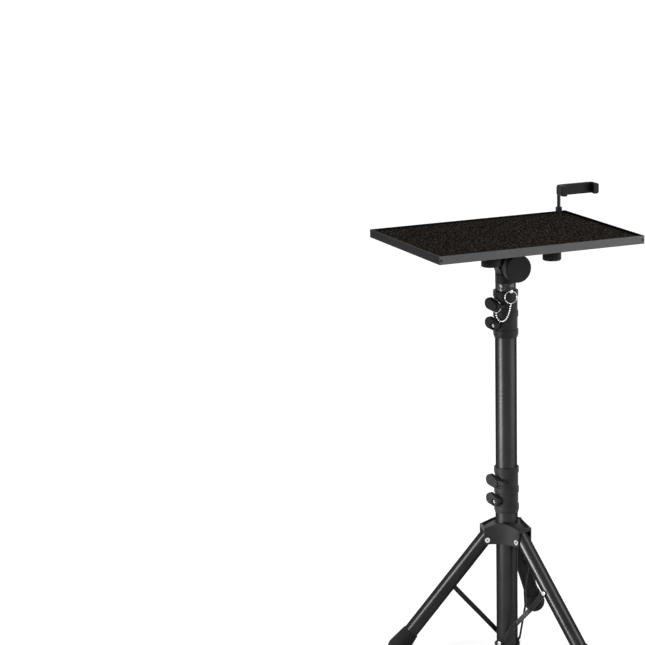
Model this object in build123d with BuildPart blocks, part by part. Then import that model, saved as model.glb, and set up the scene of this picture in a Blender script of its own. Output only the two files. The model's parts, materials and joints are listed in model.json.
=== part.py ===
from build123d import *
from math import acos, atan2, cos, hypot, radians, sin, tan
import os

os.makedirs("parts", exist_ok=True)

# Portable projector stand: a tray that tilts on a two-part column with three folding legs.
# Millimetres, +Z up, floor at z = 0, column on the Z axis, front edge of the tray towards -Y.

# Clearances
SLIDE_GAP = 0.2  # between round pieces that slide in each other, on the radius
SEAT_GAP = 0.1  # between pieces fixed to each other
MOVE_GAP = 0.3  # between pieces that move past each other

# Column tubes
TUBE_WALL = 0.8
MAIN_TUBE_D = 37.5
MAIN_TUBE_LENGTH = 602.2
TOP_TUBE_D = 35.5
TOP_TUBE_LENGTH = 420.0
TOP_TUBE_SHOWS = 13.4  # height of the top tube above the upper collar
TUBE_END_HEIGHT = 4.0  # lower end of the main tube above the floor
PLUG_FLANGE = 2.5
PLUG_DEPTH = 14.0

# Clamp collars
COLLAR_D = 41.0
COLLAR_HEIGHT = 82.0
COLLAR_RING_D = 43.6
COLLAR_RING_HEIGHT = 10.8
COLLAR_SKIRT = 3.4  # plain end below the lowest ring
COLLAR_STEP = 41.0  # depth of the lower bore, which takes the larger tube
COLLAR_RING_ROUND = 1.2
SLEEVE_WALL = 0.6
SLEEVE_SHOWS = 14.6  # height of the leg sleeve between the hub and the lower collar

# Teardrop knobs on the collars
KNOB_ANGLE = 198.0  # degrees round the column
KNOB_UPPER_DROP = 25.0  # below the top of the collar
KNOB_LOWER_DROP = 58.5
KNOB_BACK_R = 24.2  # back face, from the column axis
KNOB_THICKNESS = 7.5
KNOB_HUB_D = 17.0
KNOB_LOBE_D = 20.5
KNOB_LOBE_SIDE = 10.0  # lobe centre beside the screw
KNOB_LOBE_UP = 4.0  # lobe centre above the screw
KNOB_ROUND = 1.8
KNOB_RECESS_D = 11.0  # round the screw end of a lower knob
KNOB_RECESS = 3.0
TAIL_ROOT_D = 12.0  # tapered tail of an upper knob
TAIL_TIP_D = 6.0
TAIL_SIDE = 19.0
TAIL_UP = 2.5
TAIL_T = 5.0
STEM_D = 8.0
BOSS_D = 14.0
BOSS_REACH = 22.4  # outer face of the boss, from the column axis

# Locking pin, its split ring and the loop that holds its chain
PIN_ANGLE = -99.5
PIN_D = 6.0
PIN_LENGTH = 15.0
PIN_EYE_INSET = 3.4  # eye centre from the outer end
PIN_EYE_D = 3.4
PIN_ROUND = 1.2
PIN_HOLES = 6
PIN_PITCH = 55.0
RING_D = 20.6  # middle of the wire
RING_WIRE = 1.9
LOOP_D = 22.0
LOOP_WIRE = 1.5
CHAIN_BEAD_D = 3.2

# Legs
REAR_LEG_ANGLE = 48.3
LEG_ANGLE = 40.0  # from the vertical
LEG_D = 26.0
LEG_WALL = 1.2
LEG_LENGTH = 245.5  # from the hinge to the middle of the foot's ball
LEG_HEAD = 9.0  # leg above the hinge
LEG_IN_FOOT = 30.0
HINGE_R = 39.4
HINGE_PIN_D = 6.0
HINGE_HOLLOW_D = 3.6
RIVET_HEAD_D = 9.0
RIVET_HEAD_T = 1.2
FOOT_BALL_R = 19.0
FOOT_SOLE = 0.8  # depth of the flat that the ball stands on
FOOT_LENGTH = 35.5  # from the middle of the ball up along the leg
FOOT_TOP_D = 29.2
FOOT_ROUND = 0.8

# Leg hub
HUB_ARM_END = 44.6
HUB_ARM_WIDTH = 32.0
HUB_WAIST = 27.5  # middle of a hollow side, from the column axis
HUB_BELOW_HINGE = 8.0
HUB_HEIGHT = 38.5
HUB_FLAT_R = 23.5
HUB_SLOPE = 22.0
HUB_POCKET = 4.0
HUB_PLATE = 2.4
HUB_LIP = 2.2
HUB_WALL = 3.0  # round the sleeve

# Braces and the ring that carries them
BRACE_ON_LEG = 100.7  # upper rivet from the leg hinge
BRACE_R = 3.0  # lower rivet from the column axis
BRACE_HEIGHT = 13.0  # lower rivet above the floor
BRACE_WIDTH = 8.6
BRACE_T = 1.6
BRACE_LEG_GAP = 1.0
BRACE_RIB = 0.7
BRACE_RIB_WIDTH = 3.2
BRACE_RIB_INSET = 16.0
BRACE_BEND_FROM = 0.42  # the bend's ends, as parts of the way up the brace
BRACE_BEND_TO = 0.66
BRACE_RIVET_D = 4.6
BRACE_HEAD_D = 8.0
BRACE_HEAD_T = 1.6
TAB_WALL = 1.2  # upright tab of the ring, under a brace
TAB_WIDTH = 12.0
TAB_RISE = 5.5  # above the rivet
RING_BAND_WALL = 3.5
RING_BAND_HEIGHT = 4.5
RING_BAND_GAP = 0.75  # between the band and the end of a brace

# Tilt head
PIVOT_RISE = 31.4  # tilt axis above the top tube
HEAD_R = 24.0
HEAD_THICKNESS = 24.0
HEAD_SOCKET_D = 36.0
HEAD_SOCKET_HEIGHT = 14.3
HEAD_NECK = 28.0  # width where the boss stands on its socket
HEAD_FLARE_OUT = 0.28  # middle of the hollow flare, as parts of its width and height
HEAD_FLARE_UP = 0.62
HEAD_SPIGOT = 25.0
BRACKET_RISE = 38.0  # plate above the tilt axis
BRACKET_T = 3.0
BRACKET_WIDTH = 150.0
BRACKET_DEPTH = 164.0
BRACKET_ROUND = 10.0
EAR_R = 16.0
EAR_TOP_WIDTH = 42.0
BOLT_D = 8.0
TILT_KNOB_D = 48.0
TILT_KNOB_T = 16.0
TILT_KNOB_ROUND = 2.5
TILT_NECK_D = 22.0
TILT_NECK = 19.0
NUT_WIDTH = 16.0
NUT_T = 7.0
BOLT_END = 2.5

# Tray
TRAY_WIDTH = 381.0
TRAY_DEPTH = 279.4
RIM_HEIGHT = 14.0
RIM_T = 1.8
PANEL_T = 8.0
MAT_T = 3.0
MAT_MARGIN = 2.6
THUMB_INSET_X = 17.0  # screws from the bracket's edges
THUMB_INSET_Y = 23.0
THUMB_D = 32.0
THUMB_HEIGHT = 17.0
THUMB_STEM_D = 10.0
THUMB_STEM = 9.0
THUMB_ROUND = 2.0

# Phone holder on the back edge of the tray
CLIP_INSET = 12.5  # middle of the clip, from the tray's right edge
CLIP_WIDTH = 9.0
CLIP_T = 4.0
CLIP_LIP = 1.6
CLIP_LIP_DEPTH = 4.0
CLIP_HEIGHT = 7.0
CLIP_REACH = 12.0  # length down the outer face of the rim
ARM_D = 6.5
ARM_BEND = 12.0
CRADLE_SIDE = 15.0  # middle of the cradle beside the clip
CRADLE_INSET = 37.7  # front face of the back plate, from the tray's back edge
CRADLE_RISE = 44.0  # middle of the cradle above the rim
CRADLE_GAP = 58.0  # between the jaws
CRADLE_HEIGHT = 19.0
CRADLE_T = 7.0
JAW_T = 8.0
JAW_DEPTH = 15.0
JAW_LIP = 2.5
JAW_LIP_T = 2.5
JAW_ROUND = 1.5
JAW_CORNER = 4.0
TONGUE_HEIGHT = 9.0
TONGUE_T = 2.6
TONGUE_LENGTH = 46.0

# Heights and places worked out from the sizes above
MAIN_TOP = TUBE_END_HEIGHT + MAIN_TUBE_LENGTH
UPPER_COLLAR_Z = MAIN_TOP - COLLAR_STEP
UPPER_COLLAR_TOP = UPPER_COLLAR_Z + COLLAR_HEIGHT
TOP_TUBE_TOP = UPPER_COLLAR_TOP + TOP_TUBE_SHOWS
TOP_TUBE_Z = TOP_TUBE_TOP - TOP_TUBE_LENGTH
PIN_Z = UPPER_COLLAR_TOP + PIN_D / 2 + SEAT_GAP
PIVOT_Z = TOP_TUBE_TOP + PIVOT_RISE
BRACKET_Z = PIVOT_Z + BRACKET_RISE
TRAY_Z = BRACKET_Z + BRACKET_T
RIM_TOP = TRAY_Z + RIM_HEIGHT

BALL_Z = FOOT_BALL_R - FOOT_SOLE
HINGE_Z = BALL_Z + LEG_LENGTH * cos(radians(LEG_ANGLE))
HUB_Z = HINGE_Z - HUB_BELOW_HINGE
HUB_TOP = HUB_Z + HUB_HEIGHT
LOWER_COLLAR_Z = HUB_TOP + SLEEVE_SHOWS
LOWER_COLLAR_TOP = LOWER_COLLAR_Z + COLLAR_HEIGHT
SLEEVE_D = MAIN_TUBE_D + 2 * SLIDE_GAP + 2 * SLEEVE_WALL
SLEEVE_TOP = LOWER_COLLAR_Z + COLLAR_STEP

BRACE_TOP_R = HINGE_R + BRACE_ON_LEG * sin(radians(LEG_ANGLE))
BRACE_TOP_Z = HINGE_Z - BRACE_ON_LEG * cos(radians(LEG_ANGLE))
BRACE_LENGTH = hypot(BRACE_TOP_R - BRACE_R, BRACE_TOP_Z - BRACE_HEIGHT)
TAB_S = MAIN_TUBE_D / 2 + SEAT_GAP  # inner face of a tab, from the column axis
BRACE_LOW_S = TAB_S + TAB_WALL + MOVE_GAP + BRACE_T / 2
BRACE_TOP_S = LEG_D / 2 + BRACE_LEG_GAP + BRACE_T / 2
RING_BAND_R = TAB_S + RING_BAND_WALL
RING_BAND_Z = BRACE_HEIGHT - BRACE_WIDTH / 2 - RING_BAND_GAP - RING_BAND_HEIGHT

EAR_IN = HEAD_THICKNESS / 2 + MOVE_GAP
EAR_OUT = EAR_IN + BRACKET_T
THUMB_X = BRACKET_WIDTH / 2 - THUMB_INSET_X
THUMB_Y = BRACKET_DEPTH / 2 - THUMB_INSET_Y
CLIP_X = TRAY_WIDTH / 2 - CLIP_INSET
CRADLE_X = CLIP_X + CRADLE_SIDE
CRADLE_Y = TRAY_DEPTH / 2 - CRADLE_INSET
KNOB_HEIGHTS = {
    "upper_collar_high_knob": (UPPER_COLLAR_TOP - KNOB_UPPER_DROP, TOP_TUBE_D / 2 + MOVE_GAP),
    "upper_collar_low_knob": (UPPER_COLLAR_TOP - KNOB_LOWER_DROP, MAIN_TUBE_D / 2 + SEAT_GAP),
    "lower_collar_high_knob": (LOWER_COLLAR_TOP - KNOB_UPPER_DROP, MAIN_TUBE_D / 2 + MOVE_GAP),
    "lower_collar_low_knob": (LOWER_COLLAR_TOP - KNOB_LOWER_DROP, SLEEVE_D / 2 + SEAT_GAP),
}
LEGS = {
    "rear": REAR_LEG_ANGLE,
    "left": REAR_LEG_ANGLE + 120,
    "right": REAR_LEG_ANGLE - 120,
}


def save(piece, name):
    """Label a finished piece and write it to its own file."""
    piece.label = name
    export_step(piece, f"parts/{name}.step")


def outwards(angle):
    return Vector(cos(radians(angle)), sin(radians(angle)), 0)


def clockwise(angle):
    return Vector(sin(radians(angle)), -cos(radians(angle)), 0)


def radial_plane(angle, offset=0.0):
    """Upright plane through the column axis: x outwards, y up, its normal clockwise."""
    return Plane(clockwise(angle) * offset, x_dir=outwards(angle), z_dir=clockwise(angle))


def facing_plane(angle, radius, height):
    """Plane that faces away from the column: x level, y up."""
    middle = outwards(angle) * radius + Vector(0, 0, height)
    return Plane(middle, x_dir=-clockwise(angle), z_dir=outwards(angle))


def leg_direction(angle):
    return outwards(angle) * sin(radians(LEG_ANGLE)) - Vector(0, 0, cos(radians(LEG_ANGLE)))


def hinge_point(angle):
    return outwards(angle) * HINGE_R + Vector(0, 0, HINGE_Z)


def tube(bottom, length, outer_d, inner_d):
    with BuildPart() as piece:
        with BuildSketch(Plane.XY.offset(bottom)):
            Circle(outer_d / 2)
            Circle(inner_d / 2, mode=Mode.SUBTRACT)
        extrude(amount=length)
    return piece.part


def clamp_collar(bottom, lower_bore, upper_bore):
    """Collar with three ribs, a stepped bore and two screw bosses."""
    top = bottom + COLLAR_HEIGHT
    middle = bottom + (COLLAR_HEIGHT - COLLAR_RING_HEIGHT) / 2
    knob_heights = (top - KNOB_UPPER_DROP, top - KNOB_LOWER_DROP)
    with BuildPart() as piece:
        for ring_z in (bottom + COLLAR_SKIRT, middle, top - COLLAR_RING_HEIGHT):
            with BuildSketch(Plane.XY.offset(ring_z)):
                Circle(COLLAR_RING_D / 2)
            extrude(amount=COLLAR_RING_HEIGHT)
        fillet(piece.edges().filter_by(GeomType.CIRCLE), radius=COLLAR_RING_ROUND)
        with BuildSketch(Plane.XY.offset(bottom)):
            Circle(COLLAR_D / 2)
        extrude(amount=COLLAR_HEIGHT)
        for knob_z in knob_heights:
            with BuildSketch(facing_plane(KNOB_ANGLE, 0, knob_z)):
                Circle(BOSS_D / 2)
            extrude(amount=BOSS_REACH)
        with BuildSketch(Plane.XY.offset(bottom)):
            Circle(lower_bore / 2)
        extrude(amount=COLLAR_STEP, mode=Mode.SUBTRACT)
        with BuildSketch(Plane.XY.offset(bottom + COLLAR_STEP)):
            Circle(upper_bore / 2)
        extrude(amount=COLLAR_HEIGHT - COLLAR_STEP, mode=Mode.SUBTRACT)
        for knob_z in knob_heights:
            with BuildSketch(facing_plane(KNOB_ANGLE, 0, knob_z)):
                Circle(STEM_D / 2 + SEAT_GAP)
            extrude(amount=BOSS_REACH, mode=Mode.SUBTRACT)
    return piece.part


def clamp_knob(height, stem_from, with_tail):
    """Teardrop knob, tailed or with a recess, on a screw stem that ends at the tube it presses on."""
    with BuildPart() as piece:
        with BuildSketch(facing_plane(KNOB_ANGLE, KNOB_BACK_R, height)):
            Circle(KNOB_HUB_D / 2)
            with Locations((-KNOB_LOBE_SIDE, KNOB_LOBE_UP)):
                Circle(KNOB_LOBE_D / 2)
            make_hull()
        extrude(amount=KNOB_THICKNESS)
        front = piece.faces().sort_by(Axis(outwards(KNOB_ANGLE), outwards(KNOB_ANGLE)))[-1]
        fillet(front.edges(), radius=KNOB_ROUND)
        if with_tail:
            with BuildSketch(facing_plane(KNOB_ANGLE, KNOB_BACK_R, height)):
                Circle(TAIL_ROOT_D / 2)
                with Locations((TAIL_SIDE, TAIL_UP)):
                    Circle(TAIL_TIP_D / 2)
                make_hull()
            extrude(amount=TAIL_T)
        else:
            with BuildSketch(facing_plane(KNOB_ANGLE, KNOB_BACK_R + KNOB_THICKNESS, height)):
                Circle(KNOB_RECESS_D / 2)
            extrude(amount=-KNOB_RECESS, mode=Mode.SUBTRACT)
        with BuildSketch(facing_plane(KNOB_ANGLE, stem_from, height)):
            Circle(STEM_D / 2)
        extrude(amount=KNOB_BACK_R - stem_from)
    return piece.part


# Column: main tube, end plug, upper collar and its two knobs
save(tube(TUBE_END_HEIGHT, MAIN_TUBE_LENGTH, MAIN_TUBE_D, MAIN_TUBE_D - 2 * TUBE_WALL), "main_tube")

with BuildPart() as tube_plug:
    with BuildSketch(Plane.XY.offset(TUBE_END_HEIGHT - PLUG_FLANGE)):
        Circle(MAIN_TUBE_D / 2)
    extrude(amount=PLUG_FLANGE)
    with BuildSketch(Plane.XY.offset(TUBE_END_HEIGHT)):
        Circle(MAIN_TUBE_D / 2 - TUBE_WALL - SEAT_GAP)
    extrude(amount=PLUG_DEPTH)
save(tube_plug.part, "tube_plug")

save(
    clamp_collar(UPPER_COLLAR_Z, MAIN_TUBE_D + 2 * SEAT_GAP, TOP_TUBE_D + 2 * SLIDE_GAP),
    "upper_collar",
)
save(
    clamp_collar(LOWER_COLLAR_Z, SLEEVE_D + 2 * SEAT_GAP, MAIN_TUBE_D + 2 * SLIDE_GAP),
    "lower_collar",
)
for knob_name, (knob_height, stem_from) in KNOB_HEIGHTS.items():
    save(clamp_knob(knob_height, stem_from, knob_name.endswith("high_knob")), knob_name)

# Leg sleeve, which slides on the main tube and carries the lower collar and the hub
save(tube(HUB_Z, SLEEVE_TOP - HUB_Z, SLEEVE_D, MAIN_TUBE_D + 2 * SLIDE_GAP), "leg_sleeve")


def hub_outline(inset):
    """Three arm ends joined by hollow sides, seen from above."""
    half_width = HUB_ARM_WIDTH / 2 - inset
    for angle in LEGS.values():
        end = outwards(angle) * (HUB_ARM_END - inset)
        left_corner = end - clockwise(angle) * half_width
        right_corner = end + clockwise(angle) * half_width
        next_end = outwards(angle + 120) * (HUB_ARM_END - inset)
        next_corner = next_end + clockwise(angle + 120) * half_width
        Line(right_corner, left_corner)
        ThreePointArc(left_corner, outwards(angle + 60) * (HUB_WAIST - inset), next_corner)


def hub_under_cone(inset, drop):
    """The hub's outline, drawn in by inset, as high as its sloping top lowered by drop."""
    with BuildPart() as piece:
        with BuildSketch(Plane.XY.offset(HUB_Z)):
            with BuildLine():
                hub_outline(inset)
            make_face()
        extrude(amount=HUB_HEIGHT)
        with BuildSketch(Plane.XZ):
            with BuildLine():
                far = HUB_ARM_END * 2
                fall = (far - HUB_FLAT_R) * tan(radians(HUB_SLOPE))
                Polyline(
                    (0, HUB_Z),
                    (far, HUB_Z),
                    (far, HUB_TOP - drop - fall),
                    (HUB_FLAT_R, HUB_TOP - drop),
                    (0, HUB_TOP - drop),
                    close=True,
                )
            make_face()
        revolve(axis=Axis.Z, mode=Mode.INTERSECT)
    return piece.part


# Leg hub: three forks with a shallow pocket in the top and a slot for each leg
hub_body = hub_under_cone(0, 0)
hub_inner = hub_under_cone(HUB_LIP, 0)
hub_floor = hub_under_cone(HUB_LIP, HUB_POCKET)
with BuildPart() as leg_hub:
    add(hub_body)
    add(hub_inner, mode=Mode.SUBTRACT)
    add(hub_floor)
    with BuildSketch(Plane.XY.offset(HUB_Z)):
        Circle(SLEEVE_D / 2 + SEAT_GAP)
    extrude(amount=HUB_HEIGHT, mode=Mode.SUBTRACT)
    for angle in LEGS.values():
        slot_from = SLEEVE_D / 2 + SEAT_GAP + HUB_WALL
        slot_roof = HUB_TOP - HUB_POCKET - HUB_PLATE
        slot_fall = (HUB_ARM_END - HUB_FLAT_R) * tan(radians(HUB_SLOPE))
        with BuildSketch(radial_plane(angle)):
            with BuildLine():
                Polyline(
                    (slot_from, HUB_Z),
                    (HUB_ARM_END, HUB_Z),
                    (HUB_ARM_END, slot_roof - slot_fall),
                    (HUB_FLAT_R, slot_roof),
                    (slot_from, slot_roof),
                    close=True,
                )
            make_face()
        extrude(amount=LEG_D / 2 + MOVE_GAP, both=True, mode=Mode.SUBTRACT)
        with BuildSketch(radial_plane(angle)):
            with Locations((HINGE_R, HINGE_Z)):
                Circle(HINGE_PIN_D / 2 + SEAT_GAP)
        extrude(amount=HUB_ARM_WIDTH, both=True, mode=Mode.SUBTRACT)
        for side in (-1, 1):
            with BuildSketch(radial_plane(angle, side * HUB_ARM_WIDTH / 2)):
                with Locations((HINGE_R, HINGE_Z)):
                    Circle(RIVET_HEAD_D / 2 + SEAT_GAP)
            extrude(amount=side * HUB_ARM_WIDTH, mode=Mode.SUBTRACT)
save(leg_hub.part, "leg_hub")

# Hollow hinge rivets through the hub's forks
with BuildPart() as hub_rivets:
    for angle in LEGS.values():
        with BuildSketch(radial_plane(angle)):
            with Locations((HINGE_R, HINGE_Z)):
                Circle(HINGE_PIN_D / 2)
        extrude(amount=HUB_ARM_WIDTH / 2, both=True)
        for side in (-1, 1):
            with BuildSketch(radial_plane(angle, side * HUB_ARM_WIDTH / 2)):
                with Locations((HINGE_R, HINGE_Z)):
                    Circle(RIVET_HEAD_D / 2)
            extrude(amount=side * RIVET_HEAD_T)
        with BuildSketch(radial_plane(angle)):
            with Locations((HINGE_R, HINGE_Z)):
                Circle(HINGE_HOLLOW_D / 2)
        extrude(amount=HUB_ARM_WIDTH, both=True, mode=Mode.SUBTRACT)
save(hub_rivets.part, "hub_rivets")


def leg_tube(angle):
    """Round leg with a cross hole for its hinge rivet."""
    with BuildPart() as piece:
        axis_plane = Plane(hinge_point(angle), x_dir=clockwise(angle), z_dir=leg_direction(angle))
        with BuildSketch(axis_plane.offset(-LEG_HEAD)):
            Circle(LEG_D / 2)
            Circle(LEG_D / 2 - LEG_WALL, mode=Mode.SUBTRACT)
        extrude(amount=LEG_HEAD + LEG_LENGTH - FOOT_LENGTH + LEG_IN_FOOT)
        with BuildSketch(radial_plane(angle)):
            with Locations((HINGE_R, HINGE_Z)):
                Circle(HINGE_PIN_D / 2 + SEAT_GAP)
        extrude(amount=LEG_D, both=True, mode=Mode.SUBTRACT)
    return piece.part


def rubber_foot(angle):
    """Tapered boot on the end of a leg, with a ball that the floor cuts flat."""
    across = outwards(angle) * cos(radians(LEG_ANGLE)) + Vector(0, 0, sin(radians(LEG_ANGLE)))
    ball_middle = hinge_point(angle) + leg_direction(angle) * LEG_LENGTH
    bore = LEG_D / 2 + SEAT_GAP
    bore_end = FOOT_LENGTH - LEG_IN_FOOT - SEAT_GAP
    lip = (FOOT_TOP_D / 2, FOOT_LENGTH - FOOT_ROUND)
    touch = atan2(lip[1], lip[0]) - acos(FOOT_BALL_R / hypot(*lip))
    touch_point = (FOOT_BALL_R * cos(touch), FOOT_BALL_R * sin(touch))
    arc_point = (FOOT_BALL_R * cos(radians(-45)), FOOT_BALL_R * sin(radians(-45)))
    with BuildPart() as piece:
        with BuildSketch(Plane(ball_middle, x_dir=across, z_dir=clockwise(angle))):
            with BuildLine():
                ThreePointArc((0, -FOOT_BALL_R), arc_point, touch_point)
                Polyline(
                    touch_point,
                    lip,
                    (FOOT_TOP_D / 2 - FOOT_ROUND, FOOT_LENGTH),
                    (bore, FOOT_LENGTH),
                    (bore, bore_end),
                    (0, bore_end),
                    (0, -FOOT_BALL_R),
                )
            make_face()
        revolve(axis=Axis(ball_middle, leg_direction(angle)))
        split(bisect_by=Plane.XY, keep=Keep.TOP)
    return piece.part


for side_name, side_angle in LEGS.items():
    save(leg_tube(side_angle), f"{side_name}_leg")
    save(rubber_foot(side_angle), f"{side_name}_foot")


def brace_frame(angle):
    """Lower rivet's point, the direction up the brace and the clockwise direction."""
    low = outwards(angle) * BRACE_R + Vector(0, 0, BRACE_HEIGHT)
    high = outwards(angle) * BRACE_TOP_R + Vector(0, 0, BRACE_TOP_Z)
    return low, (high - low).normalized(), clockwise(angle)


def bent_strip(angle, width, inset, lift):
    """Strip that steps from the ring's pad out to the side of the leg, with round ends."""
    low, along, sideways = brace_frame(angle)
    bend_from = BRACE_LENGTH * BRACE_BEND_FROM
    bend_to = BRACE_LENGTH * BRACE_BEND_TO
    start, end = -width / 2 - inset, BRACE_LENGTH + width / 2 + inset
    under = lift - BRACE_T / 2
    over = lift + BRACE_T / 2
    with BuildPart() as piece:
        with BuildSketch(Plane(low, x_dir=along, z_dir=along.cross(sideways))):
            with BuildLine():
                Polyline(
                    (start, BRACE_LOW_S + under),
                    (bend_from, BRACE_LOW_S + under),
                    (bend_to, BRACE_TOP_S + under),
                    (end, BRACE_TOP_S + under),
                    (end, BRACE_TOP_S + over),
                    (bend_to, BRACE_TOP_S + over),
                    (bend_from, BRACE_LOW_S + over),
                    (start, BRACE_LOW_S + over),
                    close=True,
                )
            make_face()
        extrude(amount=width / 2, both=True)
        with BuildSketch(Plane(low, x_dir=along, z_dir=sideways)):
            with Locations((BRACE_LENGTH / 2, 0)):
                SlotCenterToCenter(BRACE_LENGTH - 2 * inset, width)
        extrude(amount=BRACE_LOW_S * 2, both=True, mode=Mode.INTERSECT)
    return piece.part


def brace(angle):
    """Bent strip with a pressed rib and a rivet hole at each end."""
    low, along, sideways = brace_frame(angle)
    strip = bent_strip(angle, BRACE_WIDTH, 0, 0)
    rib = bent_strip(angle, BRACE_RIB_WIDTH, BRACE_RIB_INSET, BRACE_RIB)
    with BuildPart() as piece:
        add(strip)
        add(rib)
        with BuildSketch(Plane(low, x_dir=along, z_dir=sideways)):
            with Locations((0, 0), (BRACE_LENGTH, 0)):
                Circle(BRACE_RIVET_D / 2 + SEAT_GAP)
        extrude(amount=BRACE_LOW_S * 2, mode=Mode.SUBTRACT)
    return piece.part


def brace_rivet(angle, along_brace, shank_from, strip_middle):
    """Headed rivet across the strip, from the face it is set on to its head."""
    low, along, sideways = brace_frame(angle)
    middle = low + along * along_brace
    head_from = strip_middle + BRACE_T / 2 + MOVE_GAP
    with BuildPart() as piece:
        with BuildSketch(Plane(middle + sideways * shank_from, x_dir=along, z_dir=sideways)):
            Circle(BRACE_RIVET_D / 2)
        extrude(amount=head_from - shank_from)
        with BuildSketch(Plane(middle + sideways * head_from, x_dir=along, z_dir=sideways)):
            Circle(BRACE_HEAD_D / 2)
        extrude(amount=BRACE_HEAD_T)
        fillet(piece.faces().sort_by(Axis(middle, sideways))[-1].edges(), radius=BRACE_HEAD_T * 0.6)
    return piece.part


for side_name, side_angle in LEGS.items():
    save(brace(side_angle), f"{side_name}_brace")
    leg_side = LEG_D / 2 + MOVE_GAP
    save(brace_rivet(side_angle, BRACE_LENGTH, leg_side, BRACE_TOP_S), f"{side_name}_brace_rivet")

# Brace ring, fixed round the lower end of the main tube with an upright tab for each brace
with BuildPart() as brace_ring:
    with BuildSketch(Plane.XY.offset(RING_BAND_Z)):
        Circle(RING_BAND_R)
        Circle(MAIN_TUBE_D / 2 + SEAT_GAP, mode=Mode.SUBTRACT)
    extrude(amount=RING_BAND_HEIGHT)
    for angle in LEGS.values():
        with BuildSketch(radial_plane(angle, TAB_S)):
            with Locations((BRACE_R, (RING_BAND_Z + BRACE_HEIGHT + TAB_RISE) / 2)):
                Rectangle(TAB_WIDTH, BRACE_HEIGHT + TAB_RISE - RING_BAND_Z)
        extrude(amount=TAB_WALL)
        with BuildSketch(radial_plane(angle)):
            with Locations((BRACE_R, BRACE_HEIGHT)):
                Circle(BRACE_RIVET_D / 2 + SEAT_GAP)
        extrude(amount=RING_BAND_R, mode=Mode.SUBTRACT)
save(brace_ring.part, "brace_ring")

with BuildPart() as ring_rivets:
    for angle in LEGS.values():
        add(brace_rivet(angle, 0, MAIN_TUBE_D / 2 + SEAT_GAP, BRACE_LOW_S))
save(ring_rivets.part, "ring_rivets")

# Top tube with its row of pin holes
with BuildPart() as top_tube:
    with BuildSketch(Plane.XY.offset(TOP_TUBE_Z)):
        Circle(TOP_TUBE_D / 2)
        Circle(TOP_TUBE_D / 2 - TUBE_WALL, mode=Mode.SUBTRACT)
    extrude(amount=TOP_TUBE_LENGTH)
    for i in range(PIN_HOLES):
        with BuildSketch(facing_plane(PIN_ANGLE, 0, PIN_Z - i * PIN_PITCH)):
            Circle(PIN_D / 2 + MOVE_GAP)
        extrude(amount=TOP_TUBE_D, mode=Mode.SUBTRACT)
save(top_tube.part, "top_tube")

# Locking pin on the collar's top edge, its split ring, and the loop round a knob's stem
PIN_FROM = TOP_TUBE_D / 2 + MOVE_GAP
PIN_END = PIN_FROM + PIN_LENGTH
PIN_EYE_R = PIN_END - PIN_EYE_INSET
with BuildPart() as locking_pin:
    with BuildSketch(facing_plane(PIN_ANGLE, PIN_FROM, PIN_Z)):
        Circle(PIN_D / 2)
    extrude(amount=PIN_LENGTH)
    pin_tip = locking_pin.faces().sort_by(Axis(outwards(PIN_ANGLE), outwards(PIN_ANGLE)))[-1]
    fillet(pin_tip.edges(), radius=PIN_ROUND)
    with BuildSketch(radial_plane(PIN_ANGLE)):
        with Locations((PIN_EYE_R, PIN_Z)):
            Circle(PIN_EYE_D / 2)
    extrude(amount=PIN_D, both=True, mode=Mode.SUBTRACT)
save(locking_pin.part, "locking_pin")

with BuildPart(facing_plane(PIN_ANGLE, PIN_EYE_R, PIN_Z - RING_D / 2)) as pin_ring:
    Torus(RING_D / 2, RING_WIRE / 2)
save(pin_ring.part, "pin_ring")

LOOP_STEM_Z = UPPER_COLLAR_TOP - KNOB_UPPER_DROP
LOOP_R = (BOSS_REACH + KNOB_BACK_R) / 2
with BuildPart(facing_plane(KNOB_ANGLE, LOOP_R, LOOP_STEM_Z)) as chain_loop:
    Torus(LOOP_D / 2, LOOP_WIRE / 2)
save(chain_loop.part, "chain_loop")

# Tilt head: a flat-sided boss on a socket that plugs into the top tube
with BuildPart() as tilt_head:
    with BuildSketch(Plane.XY.offset(TOP_TUBE_TOP - HEAD_SPIGOT)):
        Circle(TOP_TUBE_D / 2 - TUBE_WALL - SEAT_GAP)
    extrude(amount=HEAD_SPIGOT)
    with BuildSketch(Plane.XY.offset(TOP_TUBE_TOP)):
        Circle(HEAD_SOCKET_D / 2)
    extrude(amount=HEAD_SOCKET_HEIGHT)
    with BuildSketch(Plane.XZ):
        with BuildLine():
            neck_x = HEAD_NECK / 2
            neck_z = TOP_TUBE_TOP + HEAD_SOCKET_HEIGHT
            flare_x = neck_x + (HEAD_R - neck_x) * HEAD_FLARE_OUT
            flare_z = neck_z + (PIVOT_Z - neck_z) * HEAD_FLARE_UP
            Line((-neck_x, neck_z), (neck_x, neck_z))
            ThreePointArc((neck_x, neck_z), (flare_x, flare_z), (HEAD_R, PIVOT_Z))
            ThreePointArc((HEAD_R, PIVOT_Z), (0, PIVOT_Z + HEAD_R), (-HEAD_R, PIVOT_Z))
            ThreePointArc((-HEAD_R, PIVOT_Z), (-flare_x, flare_z), (-neck_x, neck_z))
        make_face()
    extrude(amount=HEAD_THICKNESS / 2, both=True)
    with BuildSketch(Plane.XZ):
        with Locations((0, PIVOT_Z)):
            Circle(BOLT_D / 2 + SEAT_GAP)
    extrude(amount=HEAD_THICKNESS, both=True, mode=Mode.SUBTRACT)
save(tilt_head.part, "tilt_head")

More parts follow.
